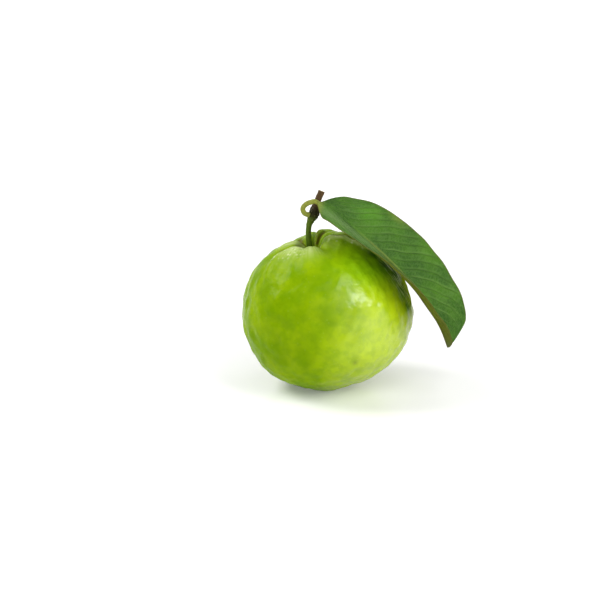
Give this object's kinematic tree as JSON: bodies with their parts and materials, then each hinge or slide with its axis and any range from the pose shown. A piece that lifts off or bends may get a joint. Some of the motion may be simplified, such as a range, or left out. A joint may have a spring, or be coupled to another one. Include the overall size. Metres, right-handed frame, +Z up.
{
  "type": "guava",
  "caption": "Whole green guava as picked, with its stalk, a folded leaf and a dry calyx underneath, resting on a small flat spot.",
  "frame": {"origin": "middle of the small flat spot that the fruit rests on", "axes": "+X to the right as pictured, the way the leaf hangs and the part's longest extent; +Y away from the camera; +Z up from the surface it rests on"},
  "size_m": [0.1181, 0.0892, 0.1069],
  "materials": {
    "guava_skin": "waxy yellow-green skin, slightly glossy, with small pale dots",
    "green_stalk": "dull green fruit stalk that turns to brown bark at the node and the twig",
    "leaf_green": "leathery green leaf with sunken side veins, a soft sheen above and a paler dull underside",
    "dry_calyx": "dry brown papery sepals"
  },
  "bodies": {
    "root": {"fruit": "guava_skin", "stem": "green_stalk", "leaf": "leaf_green", "calyx": "dry_calyx"}
  },
  "joints": []
}
